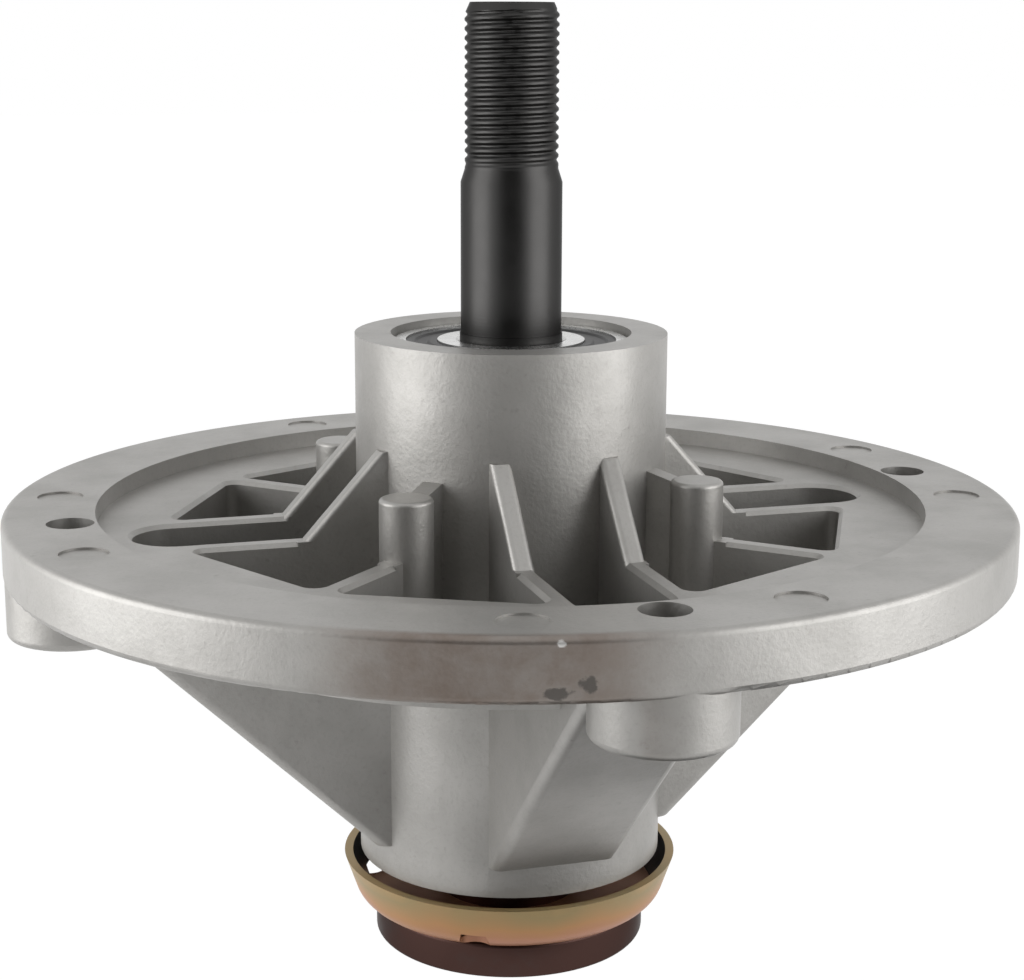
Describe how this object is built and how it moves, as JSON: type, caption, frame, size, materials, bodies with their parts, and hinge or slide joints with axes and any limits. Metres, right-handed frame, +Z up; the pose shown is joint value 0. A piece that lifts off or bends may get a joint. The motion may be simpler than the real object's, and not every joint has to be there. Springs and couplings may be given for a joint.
{
  "type": "mower deck spindle assembly",
  "caption": "Die-cast flanged spindle housing with hollow arms and bolt bosses, carrying a threaded steel spindle on sealed ball bearings above a yellow dust cup and blade flange.",
  "frame": {"origin": "centre of the flange's flat mounting face, where the bolt circle's axis crosses it", "axes": "+Z up the spindle towards its thread; X and Y along the casting's four hollow arms"},
  "size_m": [0.1972, 0.1972, 0.1861],
  "materials": {
    "cast_aluminium": "die-cast",
    "black_oxide_steel": "black oxide",
    "spacer_steel": "turned",
    "yellow_zinc_steel": "yellow chromate",
    "bearing_steel": "ground",
    "cage_steel": "pressed sheet",
    "seal_rubber": "satin"
  },
  "bodies": {
    "housing": {"spindle_housing": "cast_aluminium", "upper_outer_ring": "bearing_steel", "upper_top_seal": "seal_rubber", "upper_bottom_seal": "seal_rubber", "lower_outer_ring": "bearing_steel", "lower_top_seal": "seal_rubber", "lower_bottom_seal": "seal_rubber"},
    "spindle": {"spindle_shaft": "black_oxide_steel", "bearing_spacer": "spacer_steel", "upper_inner_ring": "bearing_steel", "lower_inner_ring": "bearing_steel", "dust_cup": "yellow_zinc_steel"},
    "upper_ball_set": {"upper_balls": "bearing_steel", "upper_cage_upper": "cage_steel", "upper_cage_lower": "cage_steel", "upper_cage_rivets": "cage_steel"},
    "lower_ball_set": {"lower_balls": "bearing_steel", "lower_cage_upper": "cage_steel", "lower_cage_lower": "cage_steel", "lower_cage_rivets": "cage_steel"}
  },
  "joints": [
    {"name": "spindle_spin", "type": "hinge", "parent": "housing", "child": "spindle", "pos_m": [0, 0, 0], "axis": [0, 0, 1], "continuous": true},
    {"name": "upper_cage_spin", "type": "hinge", "parent": "housing", "child": "upper_ball_set", "pos_m": [0, 0, 0], "axis": [0, 0, 1], "continuous": true},
    {"name": "lower_cage_spin", "type": "hinge", "parent": "housing", "child": "lower_ball_set", "pos_m": [0, 0, 0], "axis": [0, 0, 1], "continuous": true}
  ],
  "couplings": [
    {"joint": "upper_cage_spin", "follows": "spindle_spin", "ratio": 0.38152},
    {"joint": "lower_cage_spin", "follows": "spindle_spin", "ratio": 0.38152}
  ]
}
